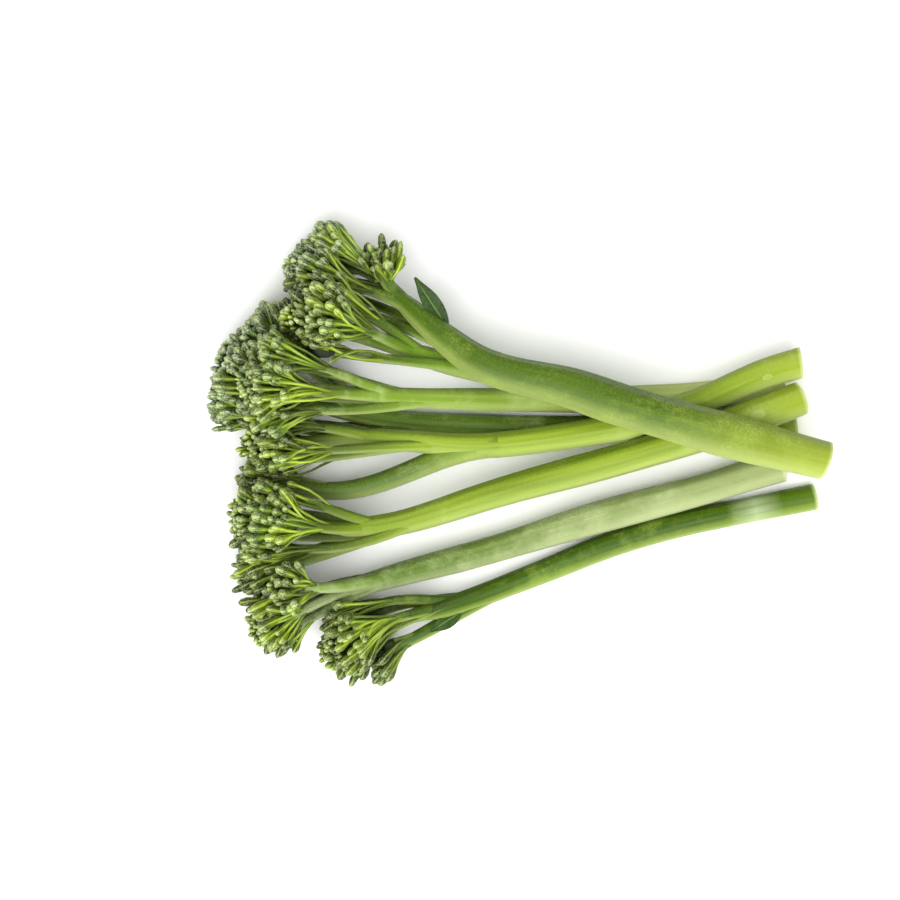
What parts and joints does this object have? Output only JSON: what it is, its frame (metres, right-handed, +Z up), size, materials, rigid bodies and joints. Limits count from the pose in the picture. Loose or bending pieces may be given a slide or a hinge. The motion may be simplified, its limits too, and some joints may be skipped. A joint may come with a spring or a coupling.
{
  "type": "baby broccoli bunch",
  "caption": "Fresh bunch of baby broccoli stalks lying loose on each other, long green stems with budded florets at one end and plain cut ends at the other.",
  "frame": {"origin": "middle of the bunch's outline, on the surface that it lies on", "axes": "+X along the stems from the heads to the cut ends, +Z up, away from the surface that it lies on"},
  "size_m": [0.2184, 0.1567, 0.0612],
  "materials": {
    "stem_bright": "satin",
    "stem_pale": "satin",
    "stem_middle": "satin",
    "stem_deep": "satin",
    "floret": "matte",
    "floret_blue": "matte",
    "leaf": "satin"
  },
  "bodies": {
    "root": {"stalk_b": "stem_bright", "stalk_s2": "stem_middle", "stalk_e": "stem_pale", "stalk_a3": "stem_middle", "stalk_a": "stem_pale", "stalk_a2": "stem_pale", "stalk_c": "stem_middle", "stalk_d": "stem_deep", "head_b": "floret_blue", "head_s2": "floret", "head_e": "floret", "head_a3": "floret_blue", "head_a": "floret", "head_a2": "floret", "head_c": "floret", "head_d": "floret", "shoot_b": "floret", "shoot_a": "floret", "shoot_a2": "floret", "shoot_c": "floret", "shoot_d": "floret", "leaf_b": "leaf", "leaf_d": "leaf"}
  },
  "joints": []
}
